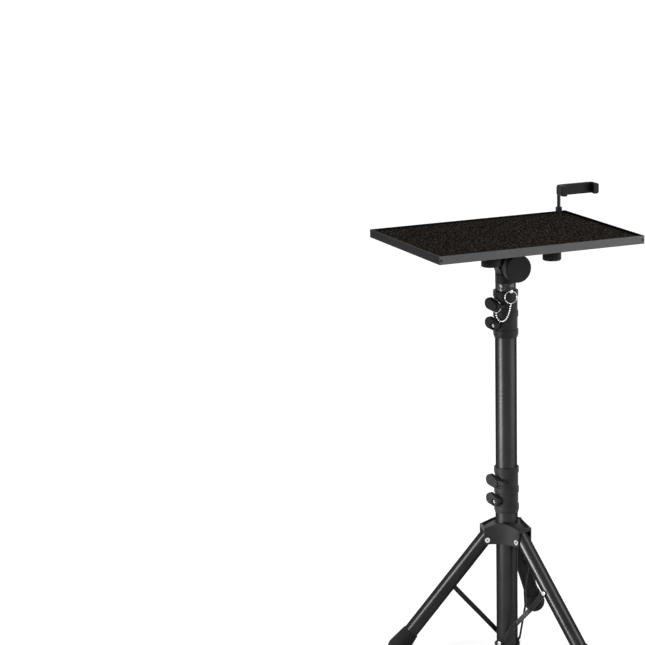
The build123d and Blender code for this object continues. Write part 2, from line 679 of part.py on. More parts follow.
# Tray bracket: a plate under the tray with two ears round the tilt head
with BuildPart() as tray_bracket:
    with BuildSketch(Plane.XY.offset(BRACKET_Z)):
        RectangleRounded(BRACKET_WIDTH, BRACKET_DEPTH, BRACKET_ROUND)
    extrude(amount=BRACKET_T)
    for side in (-1, 1):
        with BuildSketch(Plane.XZ.offset(side * EAR_IN)):
            with BuildLine():
                Polyline(
                    (-EAR_R, PIVOT_Z),
                    (EAR_R, PIVOT_Z),
                    (EAR_TOP_WIDTH / 2, BRACKET_Z),
                    (-EAR_TOP_WIDTH / 2, BRACKET_Z),
                    close=True,
                )
            make_face()
            with Locations((0, PIVOT_Z)):
                Circle(EAR_R)
            with Locations((0, PIVOT_Z)):
                Circle(BOLT_D / 2 + SEAT_GAP, mode=Mode.SUBTRACT)
        extrude(amount=side * BRACKET_T)
save(tray_bracket.part, "tray_bracket")

# Tilt bolt along Y, its nut behind and its round knob in front
KNOB_NECK_Y = EAR_OUT + SEAT_GAP
KNOB_DISC_Y = KNOB_NECK_Y + TILT_NECK
NUT_Y = EAR_OUT + SEAT_GAP
with BuildPart() as tilt_bolt:
    with BuildSketch(Plane.XZ.offset(-NUT_Y - NUT_T - BOLT_END)):
        with Locations((0, PIVOT_Z)):
            Circle(BOLT_D / 2)
    extrude(amount=NUT_Y + NUT_T + BOLT_END + KNOB_DISC_Y + TILT_KNOB_T / 2)
save(tilt_bolt.part, "tilt_bolt")

with BuildPart() as tilt_nut:
    with BuildSketch(Plane.XZ.offset(-NUT_Y - NUT_T)):
        with Locations((0, PIVOT_Z)):
            RegularPolygon(NUT_WIDTH / 2, 6, major_radius=False)
            Circle(BOLT_D / 2 + SEAT_GAP, mode=Mode.SUBTRACT)
    extrude(amount=NUT_T)
save(tilt_nut.part, "tilt_nut")

with BuildPart() as tilt_knob:
    with BuildSketch(Plane.XZ.offset(KNOB_DISC_Y)):
        with Locations((0, PIVOT_Z)):
            Circle(TILT_KNOB_D / 2)
    extrude(amount=TILT_KNOB_T)
    fillet(tilt_knob.edges().filter_by(GeomType.CIRCLE), radius=TILT_KNOB_ROUND)
    with BuildSketch(Plane.XZ.offset(KNOB_NECK_Y)):
        with Locations((0, PIVOT_Z)):
            Circle(TILT_NECK_D / 2)
    extrude(amount=TILT_NECK)
    with BuildSketch(Plane.XZ.offset(KNOB_NECK_Y)):
        with Locations((0, PIVOT_Z)):
            Circle(BOLT_D / 2 + SEAT_GAP)
    extrude(amount=TILT_NECK + TILT_KNOB_T / 2 + SEAT_GAP, mode=Mode.SUBTRACT)
save(tilt_knob.part, "tilt_knob")


# Tray: board, mat and four rim strips
def slab(width, depth, x, y, bottom, height):
    with BuildPart() as piece:
        with BuildSketch(Plane.XY.offset(bottom)):
            with Locations((x, y)):
                Rectangle(width, depth)
        extrude(amount=height)
    return piece.part


INNER_WIDTH = TRAY_WIDTH - 2 * RIM_T
INNER_DEPTH = TRAY_DEPTH - 2 * RIM_T
RIM_X = (TRAY_WIDTH - RIM_T) / 2
RIM_Y = (TRAY_DEPTH - RIM_T) / 2
MAT_WIDTH = INNER_WIDTH - 2 * MAT_MARGIN
MAT_DEPTH = INNER_DEPTH - 2 * MAT_MARGIN
save(slab(INNER_WIDTH, INNER_DEPTH, 0, 0, TRAY_Z, PANEL_T), "tray_board")
save(slab(MAT_WIDTH, MAT_DEPTH, 0, 0, TRAY_Z + PANEL_T, MAT_T), "tray_mat")
save(slab(TRAY_WIDTH, RIM_T, 0, -RIM_Y, TRAY_Z, RIM_HEIGHT), "front_rim")
save(slab(TRAY_WIDTH, RIM_T, 0, RIM_Y, TRAY_Z, RIM_HEIGHT), "back_rim")
save(slab(RIM_T, INNER_DEPTH, -RIM_X, 0, TRAY_Z, RIM_HEIGHT), "left_rim")
save(slab(RIM_T, INNER_DEPTH, RIM_X, 0, TRAY_Z, RIM_HEIGHT), "right_rim")

# Four thumb knobs that hold the bracket to the tray
with BuildPart() as thumb_knobs:
    with BuildSketch(Plane.XY.offset(BRACKET_Z - THUMB_STEM - THUMB_HEIGHT)):
        with GridLocations(2 * THUMB_X, 2 * THUMB_Y, 2, 2):
            Circle(THUMB_D / 2)
    extrude(amount=THUMB_HEIGHT)
    fillet(thumb_knobs.edges().filter_by(GeomType.CIRCLE), radius=THUMB_ROUND)
    with BuildSketch(Plane.XY.offset(BRACKET_Z - THUMB_STEM)):
        with GridLocations(2 * THUMB_X, 2 * THUMB_Y, 2, 2):
            Circle(THUMB_STEM_D / 2)
    extrude(amount=THUMB_STEM)
save(thumb_knobs.part, "thumb_knobs")

# Phone holder: a clip over the back rim, a bent arm and a cradle with one sprung jaw
CLIP_IN = TRAY_DEPTH / 2 - RIM_T - SEAT_GAP
CLIP_OUT = TRAY_DEPTH / 2 + SEAT_GAP
CLIP_SEAT = RIM_TOP + SEAT_GAP
CLIP_TOP = CLIP_SEAT + CLIP_HEIGHT
with BuildPart() as phone_clip:
    with BuildSketch(Plane.YZ.offset(CLIP_X - CLIP_WIDTH / 2)):
        with BuildLine():
            Polyline(
                (CLIP_IN - CLIP_LIP, CLIP_SEAT - CLIP_LIP_DEPTH),
                (CLIP_IN, CLIP_SEAT - CLIP_LIP_DEPTH),
                (CLIP_IN, CLIP_SEAT),
                (CLIP_OUT, CLIP_SEAT),
                (CLIP_OUT, CLIP_SEAT - CLIP_REACH),
                (CLIP_OUT + CLIP_T, CLIP_SEAT - CLIP_REACH),
                (CLIP_OUT + CLIP_T, CLIP_TOP),
                (CLIP_IN - CLIP_LIP, CLIP_TOP),
                close=True,
            )
        make_face()
    extrude(amount=CLIP_WIDTH)
save(phone_clip.part, "phone_clip")

CRADLE_Z = RIM_TOP + CRADLE_RISE
CRADLE_LEFT = CRADLE_X - CRADLE_GAP / 2
CRADLE_RIGHT = CRADLE_X + CRADLE_GAP / 2
CRADLE_BACK = CRADLE_Y + CRADLE_T
ARM_Y = (CLIP_IN - CLIP_LIP + CLIP_OUT + CLIP_T) / 2
with BuildPart() as phone_arm:
    with BuildLine():
        FilletPolyline(
            (CLIP_X, ARM_Y, CLIP_TOP),
            (CLIP_X, ARM_Y, CRADLE_Z),
            (CRADLE_X, CRADLE_BACK, CRADLE_Z),
            radius=ARM_BEND,
        )
    with BuildSketch(Plane.XY.offset(CLIP_TOP)):
        with Locations((CLIP_X, ARM_Y)):
            Circle(ARM_D / 2)
    sweep()
    split(bisect_by=Plane.XZ.offset(-CRADLE_BACK), keep=Keep.BOTTOM)
save(phone_arm.part, "phone_arm")

with BuildPart() as phone_back:
    with BuildSketch(Plane.XZ.offset(-CRADLE_BACK)):
        with Locations((CRADLE_X, CRADLE_Z)):
            RectangleRounded(CRADLE_GAP, CRADLE_HEIGHT, JAW_ROUND)
    extrude(amount=CRADLE_T)
    with BuildSketch(Plane.YZ.offset(CRADLE_RIGHT)):
        with Locations((CRADLE_Y + CRADLE_T / 2, CRADLE_Z)):
            Rectangle(TONGUE_T + 2 * MOVE_GAP, TONGUE_HEIGHT + 2 * MOVE_GAP)
    extrude(amount=-TONGUE_LENGTH - MOVE_GAP, mode=Mode.SUBTRACT)
save(phone_back.part, "phone_back")


def jaw(inner_x, side):
    """Side jaw with a small front lip; side is 1 for the right jaw."""
    front = CRADLE_Y - JAW_DEPTH
    with BuildPart() as piece:
        with BuildSketch(Plane.XY.offset(CRADLE_Z - CRADLE_HEIGHT / 2)):
            with BuildLine():
                Polyline(
                    (inner_x, CRADLE_BACK),
                    (inner_x, front + JAW_LIP_T),
                    (inner_x - side * JAW_LIP, front + JAW_LIP_T),
                    (inner_x - side * JAW_LIP, front),
                    (inner_x + side * JAW_T, front),
                    (inner_x + side * JAW_T, CRADLE_BACK),
                    close=True,
                )
            make_face()
        extrude(amount=CRADLE_HEIGHT)
        corners = piece.edges().filter_by(Axis.Y).sort_by(Axis.X)
        fillet(corners[-2:] if side > 0 else corners[:2], radius=JAW_CORNER)
        outer = piece.edges().filter_by(Axis.Z).sort_by(Axis.X)
        fillet(outer[-2:] if side > 0 else outer[:2], radius=JAW_ROUND)
    return piece.part


save(jaw(CRADLE_LEFT, -1), "phone_fixed_jaw")

with BuildPart() as phone_sliding_jaw:
    add(jaw(CRADLE_RIGHT + MOVE_GAP, 1))
    with BuildSketch(Plane.YZ.offset(CRADLE_RIGHT + MOVE_GAP)):
        with Locations((CRADLE_Y + CRADLE_T / 2, CRADLE_Z)):
            Rectangle(TONGUE_T, TONGUE_HEIGHT)
    extrude(amount=-TONGUE_LENGTH)
save(phone_sliding_jaw.part, "phone_sliding_jaw")

# Bead chain from the split ring down in a slack loop and up to the loop on the knob's stem
CHAIN_DROPS = [  # x, y and the drop below the collar's top
    (-4.9, -29.2, 18.8),
    (-6.2, -27.9, 28.5),
    (-8.1, -25.9, 38.0),
    (-10.7, -23.4, 45.5),
    (-13.9, -20.0, 50.1),
    (-18.2, -15.1, 51.1),
    (-21.3, -11.2, 46.9),
    (-22.5, -9.4, 41.3),
    (-22.3, -8.6, 37.4),
]
CHAIN_POINTS = [(x, y, UPPER_COLLAR_TOP - drop) for x, y, drop in CHAIN_DROPS]
CHAIN_REACH = 0.45


def cord_radii(points):
    """Largest tangent arc at each corner of a route."""
    corners = [Vector(*point) for point in points]
    radii = []
    for before, here, after in zip(corners, corners[1:], corners[2:]):
        turn = (here - before).get_angle(after - here)
        shorter = min((here - before).length, (after - here).length)
        radii.append(CHAIN_REACH * shorter / tan(radians(turn / 2)))
    return radii


chain_radii = cord_radii(CHAIN_POINTS)
print("chain radii", [round(r, 1) for r in chain_radii])
with BuildPart() as bead_chain:
    with BuildLine() as chain_path:
        FilletPolyline(*CHAIN_POINTS, radius=chain_radii)
    with BuildSketch(Plane(chain_path.line @ 0, z_dir=chain_path.line % 0)):
        Circle(CHAIN_BEAD_D / 2)
    sweep()
print("chain length", round(chain_path.wires()[0].length, 1))
save(bead_chain.part, "bead_chain")
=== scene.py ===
import json
from math import atan, cos, pi, radians, sin

import bmesh
import bpy
from mathutils import Matrix, Vector


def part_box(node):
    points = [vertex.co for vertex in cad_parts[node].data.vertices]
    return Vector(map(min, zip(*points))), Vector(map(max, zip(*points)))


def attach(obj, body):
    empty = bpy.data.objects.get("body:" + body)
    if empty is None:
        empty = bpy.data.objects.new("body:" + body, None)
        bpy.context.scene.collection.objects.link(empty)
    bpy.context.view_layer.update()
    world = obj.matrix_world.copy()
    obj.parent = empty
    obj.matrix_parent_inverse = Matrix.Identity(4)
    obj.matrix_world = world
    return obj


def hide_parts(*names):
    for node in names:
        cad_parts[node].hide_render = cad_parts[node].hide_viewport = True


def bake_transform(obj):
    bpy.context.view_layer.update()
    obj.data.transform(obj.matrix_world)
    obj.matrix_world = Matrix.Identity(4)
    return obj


# Looks of a tripod stand with a tilting tray. Metres, +Z up, the column on the Z axis, tray front towards -Y.
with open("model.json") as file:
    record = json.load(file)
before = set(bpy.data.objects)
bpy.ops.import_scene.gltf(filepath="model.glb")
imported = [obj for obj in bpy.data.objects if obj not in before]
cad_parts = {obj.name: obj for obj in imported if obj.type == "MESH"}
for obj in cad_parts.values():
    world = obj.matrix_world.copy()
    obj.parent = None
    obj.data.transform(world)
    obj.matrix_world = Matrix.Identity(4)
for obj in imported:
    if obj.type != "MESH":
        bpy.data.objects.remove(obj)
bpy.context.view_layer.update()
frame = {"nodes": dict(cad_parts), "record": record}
nodes = frame["nodes"]
scene = bpy.context.scene

# Camera of the photograph: its focal length and aim in pixels of a square picture
PICTURE = 645
FOCAL = 2379.44
AIM_PIXEL = (505.87, 233.73)  # where the middle of the tray's top edge falls
AIM_POINT = Vector((0, 0, 0.747))
CAMERA_AZIMUTH = -26.948
CAMERA_ELEVATION = 10.623
CAMERA_ROLL = 0.432
CAMERA_DISTANCE = 4.069
SENSOR = 36.0

# Light
WHITE = (1, 1, 1, 1)
AMBIENT = 0.20
FLOOR_SIZE = 60.0
FLOOR_GREY = 0.30
FLOOR_GLOW = 0.79  # at the stand's foot; white further out
FLOOR_FADE = 2.5
FULL_SPREAD = 180

# What the finishes share
NOISE_LOW = 0.3  # most values of a noise lie between these two
NOISE_HIGH = 0.7
CELL_SMOOTHNESS = 0.6
EDGE_SAMPLES = 4
EDGE_NONE = 0.98  # how far plain and rounded normals agree on a face, and at a sharp edge
EDGE_SHARP = 0.78
INWARD_NONE = -0.02  # a place's way out from the column along its normal: below 0 it looks inwards
INWARD_FULL = -0.06
FINE_GRAIN = 0.0002
MIX_FACTOR = 0  # sockets of a colour mix
MIX_FIRST = 6
MIX_SECOND = 7
MIX_RESULT = 2
PLASTIC_RUBBED = 1.8  # lightness of rubbed edges next to the plastic's lightest shade
PLASTIC_GRAIN = 0.06  # how far its grain changes the roughness either way

# Angles of the pieces round the column, in degrees
PIN_ANGLE = -99.5
KNOB_ANGLE = 198.0

# Edges of the added pieces that bend more than this stay sharp, in degrees
SHARP_ANGLE = 40

# Bead chain
CHAIN_ROUTE = [
    (-0.0049, -0.0292, 0.6284),
    (-0.0062, -0.0279, 0.6187),
    (-0.0081, -0.0259, 0.6092),
    (-0.0107, -0.0234, 0.6017),
    (-0.0139, -0.0200, 0.5971),
    (-0.0182, -0.0151, 0.5961),
    (-0.0213, -0.0112, 0.6003),
    (-0.0225, -0.0094, 0.6059),
    (-0.0223, -0.0086, 0.6098),
]
CHAIN_ORDER = 3
CHAIN_STEPS = 16
BEAD_D = 0.0032
BEAD_PITCH = 0.0041
BEAD_SEGMENTS = 20
BEAD_RINGS = 12
LINK_D = 0.0010
LINK_SIDES = 8
ROUNDING = 1e-9

# Split rings
SPLIT_WIRE = 0.0009
SPLIT_SIDES = 10
SPLIT_TURNS = 1.94
SPLIT_STEPS = 120
SPLIT_CROSSING = 0.12  # part of a turn in which the wire crosses to the other side
SPLIT_START = 0.6  # angle of the wire's first end, in radians

# Rim screws, with the head's profile as shares of its radius and heights
RIM_SCREW_D = 0.0044
RIM_SCREW_INSET = 0.0035
RIM_SCREW_SIDES = 24
RIM_SCREW_PROFILE = [(1.0, 0.0), (1.0, 0.0003), (0.8, 0.0006), (0.35, 0.0007), (0.0, 0.0003)]

# Knob screws, with the end's profile as shares of its radius and height
KNOB_SCREW_D = 0.0064
KNOB_SCREW_H = 0.0019
KNOB_SCREW_R = 0.0287  # floor of the knob's recess, from the column axis
KNOB_SCREW_DROP = 0.0585  # below the collar's top
KNOB_SCREW_TURN = 35
KNOB_SCREW_PROFILE = [(1.0, 0.0), (1.0, 0.6), (0.86, 1.0)]
SCREW_SLOT = 0.0013
SCREW_STEPS = 16

# Thumb knobs under the tray, with the grip's profile as shares of its radius and heights
THUMB_X = 0.058
THUMB_Y = 0.059
THUMB_R = 0.016
THUMB_GRIP_H = 0.0170
THUMB_STEM_R = 0.0050
THUMB_PROFILE = [
    (0.0, 0.0006),
    (0.55, 0.0006),
    (0.62, 0.0),
    (0.90, 0.0),
    (0.98, 0.0012),
    (0.98, 0.0150),
    (0.92, 0.0164),
    (0.78, THUMB_GRIP_H),
]
THUMB_FLUTES = 24
FLUTE_SIDES = 8
FLUTE_DEPTH = 0.018  # share of the radius


def outwards(angle):
    return Vector((cos(radians(angle)), sin(radians(angle)), 0))


def facing(middle, direction):
    """Place whose Z axis points along a level direction and whose X axis is level too."""
    forward = direction.normalized()
    level = Vector((0, 0, 1)).cross(forward).normalized()
    turn = Matrix((level, forward.cross(level), forward)).transposed().to_4x4()
    return Matrix.Translation(middle) @ turn


def box_middle(node):
    low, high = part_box(node)
    return (low + high) / 2


def make_camera():
    azimuth = radians(CAMERA_AZIMUTH)
    elevation = radians(CAMERA_ELEVATION)
    back = Vector((sin(azimuth) * cos(elevation), -cos(azimuth) * cos(elevation), sin(elevation)))
    right = Vector((cos(azimuth), sin(azimuth), 0))
    straight = Matrix((right, back.cross(right), back)).transposed()
    aside = atan((AIM_PIXEL[0] - PICTURE / 2) / FOCAL)
    above = atan((PICTURE / 2 - AIM_PIXEL[1]) / FOCAL)
    turn = Matrix.Rotation(radians(CAMERA_ROLL), 3, "Z")
    turn = turn @ Matrix.Rotation(above, 3, "X") @ Matrix.Rotation(-aside, 3, "Y")
    place = Matrix.Translation(AIM_POINT + back * CAMERA_DISTANCE)
    data = bpy.data.cameras.new("camera")
    data.sensor_width = SENSOR
    data.lens = FOCAL / PICTURE * SENSOR
    camera = bpy.data.objects.new("camera", data)
    scene.collection.objects.link(camera)
    camera.matrix_world = place @ (straight @ turn.transposed()).to_4x4()
    scene.camera = camera


make_camera()


class Finish:
    """One material, with short ways to add the noise, colour and bump that the finishes share."""

    def __init__(self, name, metallic=0.0, specular=0.5, edge=1.0):
        self.material = bpy.data.materials.new(name)
        self.material.use_nodes = True
        self.tree = self.material.node_tree
        self.shader = self.tree.nodes["Principled BSDF"]
        self.shader.inputs["Metallic"].default_value = metallic
        self.shader.inputs["Specular IOR Level"].default_value = specular
        self.shader.inputs["Specular Tint"].default_value = (edge, edge, edge, 1.0)
        self.spot = self.add("ShaderNodeTexCoord")
        self.place = self.spot.outputs["Object"]

    def add(self, kind, **settings):
        node = self.tree.nodes.new(kind)
        for name, value in settings.items():
            setattr(node, name, value)
        return node

    def link(self, output, socket):
        self.tree.links.new(output, socket)

    def combined(self, kind, operation, first, second):
        """Value that an operation makes of two others."""
        node = self.add(kind, operation=operation)
        self.link(first, node.inputs[0])
        self.link(second, node.inputs[1])
        return node.outputs["Value"]

    def times(self, first, second):
        return self.combined("ShaderNodeMath", "MULTIPLY", first, second)

    def match(self, first, second):
        """How far two directions agree."""
        return self.combined("ShaderNodeVectorMath", "DOT_PRODUCT", first, second)

    def mapped(self, value, from_low, from_high, to_low, to_high):
        node = self.add("ShaderNodeMapRange")
        limits = {"From Min": from_low, "From Max": from_high, "To Min": to_low, "To Max": to_high}
        for socket, limit in limits.items():
            node.inputs[socket].default_value = limit
        self.link(value, node.inputs["Value"])
        return node.outputs["Result"]

    def varied(self, noise, low, high):
        """Value that goes from low to high with a noise."""
        return self.mapped(noise, NOISE_LOW, NOISE_HIGH, low, high)

    def stretched(self, x, y, z):
        """Coordinates scaled apart along the axes, for brushed and drawn surfaces."""
        node = self.add("ShaderNodeMapping")
        node.inputs["Scale"].default_value = (x, y, z)
        self.link(self.place, node.inputs["Vector"])
        return node.outputs["Vector"]

    def noise(self, size, detail, place=None):
        """Soft noise with features about as wide as size."""
        node = self.add("ShaderNodeTexNoise")
        node.inputs["Scale"].default_value = 1 / size
        node.inputs["Detail"].default_value = detail
        self.link(place or self.place, node.inputs["Vector"])
        return node.outputs["Fac"]

    def cells(self, size):
        """Rounded cells about as wide as size; the value grows away from each cell's middle."""
        node = self.add("ShaderNodeTexVoronoi", feature="SMOOTH_F1")
        node.inputs["Scale"].default_value = 1 / size
        node.inputs["Smoothness"].default_value = CELL_SMOOTHNESS
        self.link(self.place, node.inputs["Vector"])
        return node.outputs["Distance"]

    def edges(self, width):
        """Near 1 along sharp edges of the shape and 0 on its faces."""
        soft = self.add("ShaderNodeBevel", samples=EDGE_SAMPLES)
        soft.inputs["Radius"].default_value = width
        plain = self.add("ShaderNodeNewGeometry")
        match = self.match(soft.outputs["Normal"], plain.outputs["Normal"])
        return self.mapped(match, EDGE_NONE, EDGE_SHARP, 0.0, 1.0)

    def inward(self):
        """1 on upright faces that look towards the column and 0 on the others."""
        level = self.add("ShaderNodeVectorMath", operation="MULTIPLY")
        level.inputs[1].default_value = (1, 1, 0)
        self.link(self.place, level.inputs[0])
        match = self.match(level.outputs["Vector"], self.spot.outputs["Normal"])
        return self.mapped(match, INWARD_NONE, INWARD_FULL, 0.0, 1.0)

    def ramp(self, value, *stops):
        """Colours at two places along a value."""
        node = self.add("ShaderNodeValToRGB")
        for element, (position, colour) in zip(node.color_ramp.elements, stops):
            element.position = position
            element.color = (*colour, 1.0)
        self.link(value, node.inputs["Fac"])
        return node.outputs["Color"]

    def shades(self, noise, dark, light):
        """Greys that go from dark to light with a noise."""
        return self.ramp(noise, (NOISE_LOW, grey(dark)), (NOISE_HIGH, grey(light)))

    def mixed(self, factor, body, plain):
        """Colour that goes from a body's to a plain one as the factor rises."""
        node = self.add("ShaderNodeMix", data_type="RGBA")
        self.link(factor, node.inputs[MIX_FACTOR])
        self.link(body, node.inputs[MIX_FIRST])
        node.inputs[MIX_SECOND].default_value = (*plain, 1.0)
        return node.outputs[MIX_RESULT]

    def paint(self, colour):
        self.link(colour, self.shader.inputs["Base Color"])

    def gloss(self, roughness):
        self.link(roughness, self.shader.inputs["Roughness"])

    def bump(self, height, strength, depth=FINE_GRAIN):
        node = self.add("ShaderNodeBump")
        node.inputs["Strength"].default_value = strength
        node.inputs["Distance"].default_value = depth
        self.link(height, node.inputs["Height"])
        self.link(node.outputs["Normal"], self.shader.inputs["Normal"])


def grey(value, warmth=0.0):
    return (value * (1 + warmth), value, value * (1 - warmth))


def tube_paint():
    """Satin charcoal powder coat with a fine orange peel."""
    finish = Finish("tube_paint", metallic=0.85, specular=0.1, edge=0.25)
    cloud = finish.noise(size=0.05, detail=3.0)
    peel = finish.noise(size=0.0011, detail=2.0)
    finish.paint(finish.shades(cloud, dark=0.024, light=0.030))
    finish.gloss(finish.varied(peel, low=0.30, high=0.38))
    finish.bump(peel, strength=0.05)
    return finish.material


def hammered_paint():
    """Glossy charcoal paint with shallow rounded dimples."""
    finish = Finish("hammered_paint", metallic=0.9, specular=0.1, edge=0.4)
    dimples = finish.cells(size=0.0042)
    flake = finish.noise(size=0.0008, detail=1.0)
    finish.paint(finish.ramp(dimples, (0.05, grey(0.070)), (0.55, grey(0.034))))
    finish.gloss(finish.varied(flake, low=0.18, high=0.28))
    finish.bump(dimples, strength=0.45, depth=0.0010)
    return finish.material


def leg_paint():
    """Satin black paint, smoother than the column's."""
    finish = Finish("leg_paint", metallic=0.85, specular=0.1, edge=0.25)
    cloud = finish.noise(size=0.03, detail=3.0)
    peel = finish.noise(size=0.0014, detail=2.0)
    finish.paint(finish.shades(cloud, dark=0.018, light=0.024))
    finish.gloss(finish.varied(cloud, low=0.25, high=0.31))
    finish.bump(peel, strength=0.02)
    return finish.material


def moulded_plastic(name, dark, light, rough):
    """Black moulding with a fine grain and slightly rubbed edges."""
    finish = Finish(name, specular=0.09)
    cloud = finish.noise(size=0.02, detail=4.0)
    grain = finish.noise(size=0.0006, detail=1.0)
    rubbed = finish.times(finish.edges(width=0.0007), finish.noise(size=0.004, detail=3.0))
    body = finish.shades(cloud, dark, light)
    finish.paint(finish.mixed(rubbed, body, grey(light * PLASTIC_RUBBED)))
    finish.gloss(finish.varied(grain, rough - PLASTIC_GRAIN, rough + PLASTIC_GRAIN))
    finish.bump(grain, strength=0.16)
    return finish.material


def bright_metal():
    """Nickel plated steel with fine handling marks."""
    finish = Finish("bright_metal", metallic=1.0)
    scratches = finish.noise(size=0.0006, detail=3.0, place=finish.stretched(1.0, 1.0, 6.0))
    cloud = finish.noise(size=0.006, detail=2.0)
    finish.paint(finish.shades(cloud, dark=0.60, light=0.72))
    finish.gloss(finish.varied(scratches, low=0.10, high=0.22))
    finish.bump(scratches, strength=0.03, depth=0.0001)
    return finish.material


def brace_steel():
    """Blackened steel strip, with bare metal rubbed through at the edges."""
    finish = Finish("brace_steel", metallic=0.9, specular=0.1, edge=0.5)
    drawn = finish.noise(size=0.0012, detail=3.0, place=finish.stretched(1.0, 1.0, 0.2))
    cloud = finish.noise(size=0.012, detail=4.0)
    rubbed = finish.times(finish.edges(width=0.0006), cloud)
    body = finish.shades(drawn, dark=0.014, light=0.022)
    finish.paint(finish.mixed(rubbed, body, grey(0.22)))
    finish.gloss(finish.varied(cloud, low=0.30, high=0.42))
    finish.bump(drawn, strength=0.06)
    return finish.material


def bracket_paint():
    """Black powder coat on pressed steel."""
    finish = Finish("bracket_paint", specular=0.4)
    peel = finish.noise(size=0.0013, detail=2.0)
    cloud = finish.noise(size=0.03, detail=3.0)
    finish.paint(finish.shades(cloud, dark=0.018, light=0.024))
    finish.gloss(finish.varied(peel, low=0.36, high=0.48))
    finish.bump(peel, strength=0.14)
    return finish.material


def rim_paint():
    """Matt grey coating on the rim strips, drawn along their length, rubbed at the edges, black inside."""
    finish = Finish("rim_paint", specular=0.0)
    drawn = finish.noise(size=0.0010, detail=3.0, place=finish.stretched(0.06, 0.06, 1.0))
    cloud = finish.noise(size=0.04, detail=3.0)
    rubbed = finish.times(finish.edges(width=0.0005), finish.noise(size=0.006, detail=3.0))
    body = finish.shades(cloud, dark=0.112, light=0.126)
    outside = finish.mixed(rubbed, body, grey(0.17))
    finish.paint(finish.mixed(finish.inward(), outside, grey(0.008)))
    finish.gloss(finish.varied(drawn, low=0.42, high=0.54))
    finish.bump(drawn, strength=0.05)
    return finish.material


def board():
    """Black laminate with a faint wood pore."""
    finish = Finish("board", specular=0.35)
    pore = finish.noise(size=0.0016, detail=3.0, place=finish.stretched(0.08, 1.0, 1.0))
    finish.paint(finish.ramp(pore, (0.35, grey(0.014)), (0.7, grey(0.022))))
    finish.gloss(finish.varied(pore, low=0.42, high=0.56))
    finish.bump(pore, strength=0.12)
    return finish.material


def mat():
    """Black rubber crumb with brownish specks."""
    finish = Finish("mat", specular=0.0)
    crumb = finish.cells(size=0.0017)
    speck = finish.noise(size=0.0034, detail=3.0)
    body = finish.ramp(crumb, (0.10, grey(0.015, warmth=0.10)), (0.60, grey(0.007, warmth=0.05)))
    spots = finish.mapped(speck, 0.54, 0.64, 0.0, 1.0)
    finish.paint(finish.mixed(spots, body, grey(0.075, warmth=0.25)))
    finish.gloss(finish.mapped(crumb, 0.1, 0.6, 0.70, 0.90))
    finish.bump(crumb, strength=0.6, depth=0.0006)
    return finish.material


def foot_rubber():
    """Matt black rubber with dust in its grain."""
    finish = Finish("foot_rubber", specular=0.06)
    grain = finish.noise(size=0.0009, detail=2.0)
    dust = finish.noise(size=0.015, detail=5.0)
    finish.paint(finish.ramp(dust, (0.35, grey(0.005)), (0.75, grey(0.011))))
    finish.gloss(finish.varied(dust, low=0.58, high=0.75))
    finish.bump(grain, strength=0.2)
    return finish.material


finishes = {
    "tube_paint": tube_paint(),
    "hammered_paint": hammered_paint(),
    "leg_paint": leg_paint(),
    "black_plastic": moulded_plastic("black_plastic", dark=0.012, light=0.016, rough=0.46),
    "holder_plastic": moulded_plastic("holder_plastic", dark=0.011, light=0.015, rough=0.56),
    "bright_metal": bright_metal(),
    "brace_steel": brace_steel(),
    "bracket_paint": bracket_paint(),
    "rim_paint": rim_paint(),
    "board": board(),
    "mat": mat(),
    "foot_rubber": foot_rubber(),
}

for subpart in frame["record"]["subparts"]:
    node_mesh = nodes[subpart["node"]].data
    node_mesh.materials.clear()
    node_mesh.materials.append(finishes[subpart["material_slot"]])


def make_piece(name, mesh_maker, slot):
    """Object from a finished bmesh, smooth except at its sharp edges."""
    bmesh.ops.recalc_face_normals(mesh_maker, faces=mesh_maker.faces)
    mesh = bpy.data.meshes.new(name)
    mesh_maker.to_mesh(mesh)
    mesh_maker.free()
    mesh.shade_smooth()
    mesh.set_sharp_from_angle(angle=radians(SHARP_ANGLE))
    mesh.materials.append(finishes[slot])
    piece = bpy.data.objects.new(name, mesh)
    scene.collection.objects.link(piece)
    return piece


def join_rings(maker, rings):
    """Faces from each closed ring of points to the next; a ring may be one point, repeated."""
    for lower, upper in zip(rings, rings[1:]):
        for i in range(len(lower)):
            j = (i + 1) % len(lower)
            corners = dict.fromkeys((lower[i], lower[j], upper[j], upper[i]))
            maker.faces.new(list(corners))


def close_ends(maker, rings):
    maker.faces.new(rings[0])
    maker.faces.new(rings[-1])


def add_lathe(maker, place, profile, segments, flute=None):
    """Turn a profile of (radius, height) points round a place's Z axis; flute scales the radius by angle."""
    rings = []
    for radius, height in profile:
        if radius == 0:
            rings.append([maker.verts.new(place @ Vector((0, 0, height)))] * segments)
            continue
        ring = []
        for i in range(segments):
            angle = 2 * pi * i / segments
            out = radius * (flute(angle) if flute else 1.0)
            point = Vector((out * cos(angle), out * sin(angle), height))
            ring.append(maker.verts.new(place @ point))
        rings.append(ring)
    join_rings(maker, rings)


def add_tube(maker, points, radius, sides):
    """Round wire along points, closed at both ends."""
    rings = []
    normal = None
    for i, point in enumerate(points):
        ahead = points[min(i + 1, len(points) - 1)]
        behind = points[max(i - 1, 0)]
        along = (ahead - behind).normalized()
        if normal is None:
            normal = along.orthogonal().normalized()
        normal = (normal - along * normal.dot(along)).normalized()
        across = along.cross(normal)
        ring = []
        for k in range(sides):
            angle = 2 * pi * k / sides
            ring.append(maker.verts.new(point + (normal * cos(angle) + across * sin(angle)) * radius))
        rings.append(ring)
    join_rings(maker, rings)
    close_ends(maker, rings)


